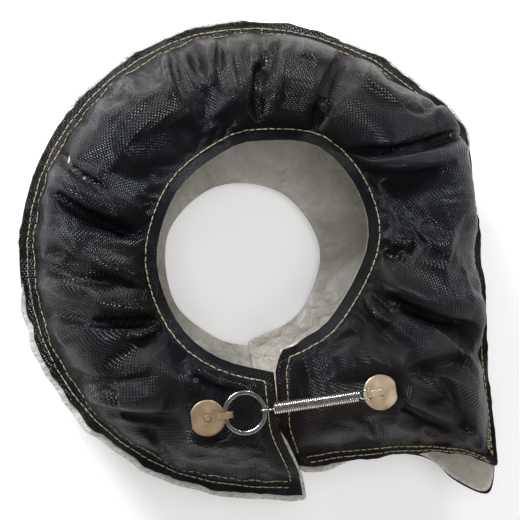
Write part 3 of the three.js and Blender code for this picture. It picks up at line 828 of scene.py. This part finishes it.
def woolPad(name, cover, side, fill, lining):
    # the pad fills the room between its cover and its lining
    columns, rows = woolShape["columns"], woolShape["rows"]
    column = np.linspace(9, cover.shape[0] - 10, columns)
    row = np.linspace(7, cover.shape[1] - 15, rows)
    outer = gridAt(cover, np.repeat(column, rows), np.tile(row, columns)).reshape(columns, rows, 3)
    level = outer[..., 2] * side
    low = level.copy()
    for axis in (0, 1) * woolShape["spread"]:
        low = np.minimum(low, np.minimum(np.roll(low, 1, axis), np.roll(low, -1, axis)))
    low[0], low[-1], low[:, 0], low[:, -1] = level[0], level[-1], level[:, 0], level[:, -1]
    liner = nodes[lining]
    tree = surfaceOf(liner)
    inner = outer.copy()
    for c in range(columns):
        for r in range(rows):
            start = Vector(outer[c, r]) * MM - Vector((0, 0, side * 0.0009))
            hit = tree.ray_cast(start, Vector((0, 0, -side)))[0]
            base = side * hit.z / MM if hit else level[c, r] - 1.6
            roof, bed = level[c, r] - woolRoom["toCover"], base + woolRoom["toLining"]
            if roof < bed + 0.3:
                top = (level[c, r] + base) / 2 + 0.1
                under = top - woolRoom["least"]
            else:
                top = min(max(low[c, r] - woolShape["under"], bed + 0.3), roof)
                under = min(base + woolShape["over"], top - woolRoom["least"])
            outer[c, r, 2] = side * top
            inner[c, r, 2] = side * under
    size = columns * rows
    faces = gridFaces(columns, rows, side)
    faces += [tuple(size + i for i in reversed(face)) for face in gridFaces(columns, rows, side)]
    ring = [c * rows for c in range(columns)]
    ring += [(columns - 1) * rows + r for r in range(1, rows)]
    ring += [c * rows + rows - 1 for c in range(columns - 2, -1, -1)]
    ring += [r for r in range(rows - 2, 0, -1)]
    for a, b in zip(ring, ring[1:] + ring[:1]):
        faces.append((b, a, size + a, size + b) if side > 0 else (a, b, size + b, size + a))
    made = makeObject(name, np.concatenate([outer.reshape(-1, 3), inner.reshape(-1, 3)]), faces, wool)
    return dress(made, rootBody, "wool", fill)


woolPad("frontWool", front, 1, "front_fill", "front_lining")
woolPad("rearWool", rear, -1, "rear_fill", "rear_lining")
print("pads filled")


def crinkle(grid, amount):
    flat = grid.reshape(-1, 3)
    lift = np.array([noise.turbulence(Vector(p) / 14, 4, True) for p in flat]).reshape(grid.shape[:2])
    grid[..., 2] += (lift - lift.mean()) * amount
    return grid


# where the lining's raw edge shows past the cover, as angles round the middle, and by how much
edgeStretches = [(188, 292, 2.3), (92, 146, 1.1), (26, 70, 1.2)]


def edgeShow(grid, side):
    angle = np.degrees(np.arctan2(grid[:, -1, 1], grid[:, -1, 0])) % 360
    show = np.full(len(angle), -1.0)
    for first, last, reach in edgeStretches:
        inside = smoothstep(angle, first - 3, first + 5) * (1 - smoothstep(angle, last - 5, last + 3))
        show = np.maximum(show, -1.0 + (reach + 1.0) * inside)
    return show if side > 0 else show - 0.6


def markRawEdge(made, grid):
    # the mask that turns the last millimetres of the cloth into white frayed yarn
    edge = np.concatenate([grid[:, -1], grid[0, -14:]]) * MM
    tree = KDTree(len(edge))
    for index, point in enumerate(edge):
        tree.insert(point, index)
    tree.balance()
    layer = made.data.attributes.new("rawEdge", "FLOAT", "POINT")
    away = np.array([tree.find(v.co)[2] for v in made.data.vertices]) / MM
    layer.data.foreach_set("value", 1 - smoothstep(away, 1.2, 2.6))


liningShape = {"columns": 220, "rows": 24, "crinkle": 0.7, "drop": 0.4, "tail": 2.2}
rearFlap = {"over": 3.4, "lift": 1.0}
for panel, side in (("front", 1), ("rear", -1)):
    corners = panelCorners[panel]
    lining = layOut(panel + "_lining", 1, corners, liningShape["columns"], liningShape["rows"], **hems)
    lining = puckers(crinkle(lining, liningShape["crinkle"]), 3.0 if side > 0 else 4.0)
    lining[:, 5:-6, 2] -= liningShape["drop"] if side > 0 else 0.0
    run = edgeRun(lining)
    ragged = 0.9 * waves(run, 1.0, 14.0) + 0.3 * waves(run, 8.0, 3.0)
    lining = moveEdge(lining, edgeShow(lining, side) + ragged)
    if side < 0:
        # the right flap of the rear lies over the left one
        over = smoothstep(np.arange(len(lining)), len(lining) - 16, len(lining) - 3)[:, None]
        lining[..., 0] -= rearFlap["over"] * over
        lining[..., 2] += rearFlap["lift"] * over
    else:
        lining[0, :, 0] += liningShape["tail"] * smoothstep(-lining[0, :, 1], 88, 97)
    made = clothObject(panel + "LiningCloth", lining, 1, panel + "_lining", **silverMake)
    markRawEdge(made, lining)
print("linings shaped")

# Stitches


stitchShape = {"pitch": 3.5, "length": 3.3, "radius": 0.3, "sink": 0.2}


def stitchRow(name, grid, side, places, *replaced):
    # places are pairs of column and row; each stitch arches over the cloth and dips at its ends
    places = np.array(places, float)
    dense = np.linspace(0, len(places) - 1, len(places) * 12)
    column = np.interp(dense, np.arange(len(places)), places[:, 0])
    row = np.interp(dense, np.arange(len(places)), places[:, 1])
    path = gridAt(grid, column, row)
    normals = gridAt(gridNormals(grid, side), column, row)
    run = runAlong(path)
    vertices, faces = [], []
    sides, steps = 8, 9
    start = 0.4
    while start + stitchShape["length"] < run[-1]:
        length = stitchShape["length"] * rng.uniform(0.86, 1.06)
        skew = rng.uniform(-0.16, 0.16)
        shares = np.linspace(0, 1, steps)
        where = start + shares * length
        at = np.stack([np.interp(where, run, path[:, k]) for k in range(3)], -1)
        up = np.stack([np.interp(where, run, normals[:, k]) for k in range(3)], -1)
        up /= np.linalg.norm(up, axis=1, keepdims=True)
        ahead = np.gradient(at, axis=0)
        ahead /= np.linalg.norm(ahead, axis=1, keepdims=True)
        across = np.cross(ahead, up)
        arch = np.sin(np.pi * shares) ** 0.5
        radius = stitchShape["radius"] * (0.7 + 0.3 * arch)
        centre = at + up * (arch * (stitchShape["radius"] + 0.06) - stitchShape["sink"])[:, None]
        centre += across * (skew * (shares - 0.5) * 2)[:, None]
        first = len(vertices)
        for k in range(steps):
            for turn in np.linspace(0, 2 * np.pi, sides, endpoint=False):
                out = across[k] * math.cos(turn) + up[k] * math.sin(turn) * 0.8
                vertices.append(centre[k] + out * radius[k])
        faces += tubeFaces(steps, sides, first)
        start += stitchShape["pitch"] * rng.uniform(0.93, 1.07)
    made = makeObject(name, vertices, faces, threadMaterial)
    return dress(made, rootBody, "thread", *replaced)


def holePath(grid):
    columns, rows = grid.shape[:2]
    rimRow, endColumn = 3.0, 5.2
    down = [(endColumn, r) for r in np.linspace(rows - 5, rimRow, 30)]
    rim = [(c, rimRow) for c in np.linspace(endColumn, columns - 1 - endColumn, columns)]
    up = [(columns - 1 - endColumn, r) for r in np.linspace(rimRow, rows - 5, 30)]
    return down + rim + up


def seamPath(row, first, last):
    return [(c, row) for c in np.linspace(first, last, int(last - first))]


def cornerColumn(grid):
    return int(np.argmin(np.linalg.norm(grid[:, -1, :2] - np.array(mouthCorner), axis=1)))


mouthCorner = (125.0, -110.2)
# how many of the grid's rows each line of stitches stands in from the raw edge
inFromEdge = {"inner": 5.7, "outer": 3.6, "mouth": 4.0, "hem": 2.6, "tack": 2.1}
frontColumns, frontRows = front.shape[:2]
cornerAt = cornerColumn(front)
stitchRow("frontHoleStitches", front, 1, holePath(front), "front_hole_stitching")
innerRow = seamPath(frontRows - inFromEdge["inner"], 6, cornerAt - 3)
outerRow = seamPath(frontRows - inFromEdge["outer"], 6, cornerAt - 2)
stitchRow("seamStitchesInner", front, 1, innerRow, "outer_seam_inner_row")
stitchRow("seamStitchesOuter", front, 1, outerRow, "outer_seam_outer_row")
tackRow = frontRows - inFromEdge["inner"]
tackEnds = [(cornerAt - 13 + k * 0.9, tackRow + inFromEdge["tack"] * (k % 2)) for k in range(13)]
stitchRow("cornerTack", front, 1, tackEnds)
mouthRow = seamPath(frontRows - inFromEdge["mouth"], cornerAt + 2, frontColumns - 7)
hemRow = seamPath(frontRows - inFromEdge["hem"], cornerAt + 2, frontColumns - 7)
stitchRow("mouthStitches", front, 1, mouthRow, "front_mouth_stitching")
stitchRow("mouthHemStitches", front, 1, hemRow)
stitchRow("rearHoleStitches", rear, -1, holePath(rear), "rear_hole_stitching")
rearMouthRow = seamPath(rear.shape[1] - inFromEdge["mouth"], cornerColumn(rear) + 2, rear.shape[0] - 7)
stitchRow("rearMouthStitches", rear, -1, rearMouthRow, "rear_mouth_stitching")
print("stitched")

# Closure, in its own frame: X from the left hook to the right one, Z up off the cloth

leftAt = np.array([-30.5, -83.15])
rightAt = np.array([55.5, -70.95])
span = float(np.linalg.norm(rightAt - leftAt))
turn = math.atan2(*(rightAt - leftAt)[::-1])
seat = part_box("left_lock_disc")[0].z / MM - 1.3
closure = Matrix.Translation(Vector((*leftAt, seat)) * MM) @ Matrix.Rotation(turn, 4, "Z")
rightEnd = closure @ Matrix.Translation(Vector((span, 0, 0)) * MM) @ Matrix.Rotation(math.pi, 4, "Z")


def sweep(name, path, section, hint, material):
    path = np.asarray(path, float)
    vertices = []
    across = np.array(hint, float)
    count = len(path)
    for i in range(count):
        ahead = path[min(i + 1, count - 1)] - path[max(i - 1, 0)]
        ahead /= np.linalg.norm(ahead)
        across = across - ahead * across.dot(ahead)
        across /= np.linalg.norm(across)
        up = np.cross(ahead, across)
        for u, v in section:
            vertices.append(path[i] + across * u + up * v)
    return makeObject(name, vertices, tubeFaces(count, len(section)), material)


def circle(radius, sides):
    turns = np.linspace(0, 2 * np.pi, sides, endpoint=False)
    return [(math.cos(t) * radius, math.sin(t) * radius) for t in turns]


discShape = {"radius": 8.8, "flatDepth": 0.9, "low": 1.3, "thickness": 0.8, "relief": 0.34, "sides": 96}
# the disc's face from its middle out, as a share of the radius and a height above its pressed floor
discFace = [(0.13, 0.05), (0.2, 0.12), (0.26, 0.3), (0.34, 0.34), (0.4, 0.16), (0.55, 0.1)]
discFace += [(0.74, 0.12), (0.84, 0.3), (0.92, 0.34), (0.975, 0.24), (1.0, 0.0)]


def makeDisc(name, matrix, node):
    flat = discShape["radius"] - discShape["flatDepth"]
    sides = discShape["sides"]
    turns = np.linspace(0, 2 * np.pi, sides, endpoint=False)
    pressed = discShape["low"] + discShape["thickness"] - discShape["relief"]
    rings = [(share, pressed + rise) for share, rise in discFace]
    rings += [(share, discShape["low"]) for share in (1.0, discFace[0][0])]
    vertices, faces = [], []
    for share, z in rings:
        for t in turns:
            edge = discShape["radius"]
            if math.cos(t) < -flat / discShape["radius"]:
                edge = flat / -math.cos(t)
            vertices.append((math.cos(t) * edge * share, math.sin(t) * edge * share, z))
    for i in range(len(rings)):
        j = (i + 1) % len(rings)
        for k in range(sides):
            n = (k + 1) % sides
            faces.append((i * sides + k, j * sides + k, j * sides + n, i * sides + n))
    made = makeObject(name, vertices, faces, steel)
    made.matrix_world = matrix
    modifier(made, "BEVEL", width=0.12 * MM, segments=2, limit_method="ANGLE", angle_limit=math.radians(50))
    return dress(made, rootBody, "plated_steel", node)


makeDisc("leftDisc", closure, "left_lock_disc")
makeDisc("rightDisc", rightEnd, "right_lock_disc")

hookShape = {"thickness": 0.7, "width": 3.2, "tail": 3.4, "low": 0.3, "bend": 2.4}
hookShape.update({"leftBend": 9.55, "rightBend": 4.2, "leftTip": 4.2, "rightTip": 0.6})
stripSection = ((-1, -0.7), (-0.94, -1), (0.94, -1), (1, -0.7), (1, 0.7), (0.94, 1), (-0.94, 1), (-1, 0.7))


def makeHook(name, matrix, bendAt, tipAt, node):
    half = hookShape["thickness"] / 2
    low = hookShape["low"] + half
    radius = hookShape["bend"] + half
    path = [(x, 0, low) for x in np.linspace(-hookShape["tail"], bendAt, 10)]
    for a in np.linspace(-90, 90, 19)[1:]:
        across, rise = radius * math.cos(math.radians(a)), radius * math.sin(math.radians(a))
        path.append((bendAt + across, 0, low + radius + rise))
    path += [(x, 0, low + 2 * radius) for x in np.linspace(bendAt, tipAt, 12)[1:]]
    path = np.array(path)
    fromTip = np.concatenate([np.cumsum(np.linalg.norm(np.diff(path, axis=0), axis=1)[::-1])[::-1], [0]])
    vertices = []
    for i, point in enumerate(path):
        ahead = path[min(i + 1, len(path) - 1)] - path[max(i - 1, 0)]
        ahead /= np.linalg.norm(ahead)
        up = np.cross(ahead, (0, 1, 0))
        wide = hookShape["width"] / 2
        if fromTip[i] < wide:
            wide = math.sqrt(max(wide**2 - (wide - fromTip[i]) ** 2, 0.16))
        for u, v in stripSection:
            vertices.append(point + np.array([0, 1, 0]) * wide * u + up * half * v)
    made = makeObject(name, vertices, tubeFaces(len(path), len(stripSection)), steel)
    made.matrix_world = matrix
    modifier(made, "BEVEL", width=0.06 * MM, segments=2, limit_method="ANGLE", angle_limit=math.radians(40))
    return dress(made, rootBody, "plated_steel", node)


makeHook("leftHook", closure, hookShape["leftBend"], hookShape["leftTip"], "left_hook")
makeHook("rightHook", rightEnd, hookShape["rightBend"], hookShape["rightTip"], "right_hook")

ringShape = {"radius": 9.8, "wide": 2.0, "high": 0.95, "at": 18.2, "level": 4.4}
ringShape.update({"gap": 0.3, "endAt": -58.0, "step": 0.4, "endGap": 0.15})


def roundedSection(wide, high, sides):
    # a flattened round, fuller at its corners than an ellipse
    points = []
    for t in np.linspace(0, 2 * np.pi, sides, endpoint=False):
        u = math.copysign(abs(math.cos(t)) ** 0.7, math.cos(t))
        v = math.copysign(abs(math.sin(t)) ** 0.7, math.sin(t))
        points.append((u * wide / 2, v * high / 2))
    return points


def makeRing():
    turns = 4 * math.pi - 2 * ringShape["step"] - 2 * ringShape["endGap"]
    path = []
    for share in np.linspace(0, 1, 260):
        angle = turns * share
        climb = float(smoothstep(angle - turns / 2, -ringShape["step"], ringShape["step"])) - 0.5
        level = (ringShape["high"] + ringShape["gap"] * 0.4) * climb
        angle += math.radians(ringShape["endAt"])
        path.append((math.cos(angle) * ringShape["radius"], math.sin(angle) * ringShape["radius"], level))
    start = math.radians(ringShape["endAt"])
    section = roundedSection(ringShape["wide"], ringShape["high"], 14)
    made = sweep("splitRing", path, section, (-math.cos(start), -math.sin(start), 0), wire)
    made.matrix_world = closure @ Matrix.Translation(Vector((ringShape["at"], 0, ringShape["level"])) * MM)
    return dress(made, ringBody, "bright_wire", "split_ring")


makeRing()

springShape = {"wire": 0.9, "radius": 2.55, "gap": 0.19, "lead": 2.3}
springShape.update({"leftLoop": 2.3, "slack": 0.7, "level": ringShape["level"]})


def springPath():
    level = springShape["level"]
    points = []
    hookedAt = ringShape["at"] + ringShape["radius"]
    for a in np.linspace(-40, -290, 26):
        t = math.radians(a)
        loopRadius = springShape["leftLoop"]
        points.append((hookedAt + math.cos(t) * loopRadius, 0, level + math.sin(t) * loopRadius))
    bendFace = hookShape["rightBend"] + math.sqrt(hookShape["bend"] ** 2 - 1)
    loop = math.hypot(hookShape["width"] / 2, springShape["slack"]) + 0.3 + springShape["wire"] / 2
    loopAt = span - bendFace - springShape["slack"]
    coilStart = hookedAt + springShape["leftLoop"] + springShape["lead"]
    coilEnd = loopAt - loop - springShape["lead"]
    count = round((coilEnd - coilStart) / (springShape["wire"] + springShape["gap"]))
    lead = springShape["lead"]
    coil = springShape["radius"]
    points.append((coilStart - lead * 0.62, -0.3, level + coil * 0.3))
    points.append((coilStart - lead * 0.4, -0.5, level + coil * 0.62))
    steps = count * 22
    for i in range(steps + 1):
        t = 2 * math.pi * i / 22 + math.pi / 2
        at = coilStart + (coilEnd - coilStart) * i / steps
        points.append((at, math.cos(t) * coil, level + math.sin(t) * coil))
    points.append((coilEnd + lead * 0.28, -0.9, level + coil * 0.72))
    points.append((coilEnd + lead * 0.5, -1.5, level + coil * 0.36))
    for a in np.linspace(228, 500, 30):
        t = math.radians(a)
        points.append((loopAt + math.cos(t) * loop, math.sin(t) * loop, level))
    return points, coilStart, coilEnd


springPoints, coilStart, coilEnd = springPath()
spring = sweep("tensionSpring", springPoints, circle(springShape["wire"] / 2, 8), (0, 1, 0), wire)
spring.matrix_world = closure
bpy.context.view_layer.update()
spring.data.transform(spring.matrix_world)
spring.matrix_world = Matrix.Identity(4)
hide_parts("tension_spring")
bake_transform(spring)
print("closure made")

# Studio

studio = {"radius": 15.0, "wall": 3.5, "sides": 64, "glow": 0.3, "ambient": 0.12}
turns = np.linspace(0, 2 * np.pi, studio["sides"], endpoint=False)
ring = np.stack([np.cos(turns), np.sin(turns)], -1) * studio["radius"]
spots = [(x, y, z) for z in (-0.0004, studio["wall"]) for x, y in ring]
walls = []
for k in range(studio["sides"]):
    n = (k + 1) % studio["sides"]
    walls.append((n, k, studio["sides"] + k, studio["sides"] + n))
floorMesh = bpy.data.meshes.new("floor")
floorMesh.from_pydata(spots, [], [tuple(range(studio["sides"]))] + walls)
floor = newObject("floor", floorMesh)
floorMaterial, floorTree, floorShader = newMaterial("paleFloor", (0.95, 0.95, 0.95), 0.9)
rays = addNode(floorTree, "ShaderNodeLightPath").outputs
seen = mathNode(floorTree, "MAXIMUM", rays["Is Camera Ray"], rays["Is Glossy Ray"])
seen = mathNode(floorTree, "MAXIMUM", seen, rays["Is Transmission Ray"])
floorShader.inputs["Emission Color"].default_value = (1, 1, 1, 1)
glow = mathNode(floorTree, "MULTIPLY", seen, studio["glow"])
feed(floorShader, "Emission Strength", glow)
floorMesh.materials.append(floorMaterial)

lights = {
    "key": {"place": (-0.8, 1.2, 0.9), "size": (0.6, 0.45), "power": 30, "color": (0.97, 0.98, 1.0)},
    "top": {"place": (0.45, 1.3, 0.88), "size": (0.3, 0.25), "power": 8, "color": (0.96, 0.98, 1.0)},
    "side": {"place": (1.3, 0.3, 0.8), "size": (0.2, 0.4), "power": 0.4, "color": (0.98, 0.98, 1.0)},
    "low": {"place": (-0.3, -1.3, 0.9), "size": (1.1, 0.5), "power": 0.6, "color": (1.0, 0.9, 0.8)},
    "over": {
        "place": (0.05, -0.15, 1.7),
        "size": (1.3, 1.3),
        "power": 13,
        "color": (1.0, 0.99, 0.97),
        "gloss": False,
    },
}
for name, light in lights.items():
    data = bpy.data.lights.new(name, "AREA")
    data.shape = "RECTANGLE"
    data.size, data.size_y = light["size"]
    data.energy = light["power"]
    data.color = light["color"]
    lamp = newObject(name, data)
    lamp.location = light["place"]
    lamp.visible_glossy = light.get("gloss", True)
    lamp.rotation_euler = (Vector((0, 0, 0.03)) - lamp.location).to_track_quat("-Z", "Y").to_euler()

world = bpy.data.worlds.new("studio")
scene.world = world
world.use_nodes = True
backdrop = world.node_tree.nodes["Background"]
backdrop.inputs["Color"].default_value = (1, 1, 1, 1)
backdrop.inputs["Strength"].default_value = studio["ambient"]
scene.view_settings.view_transform = "Standard"
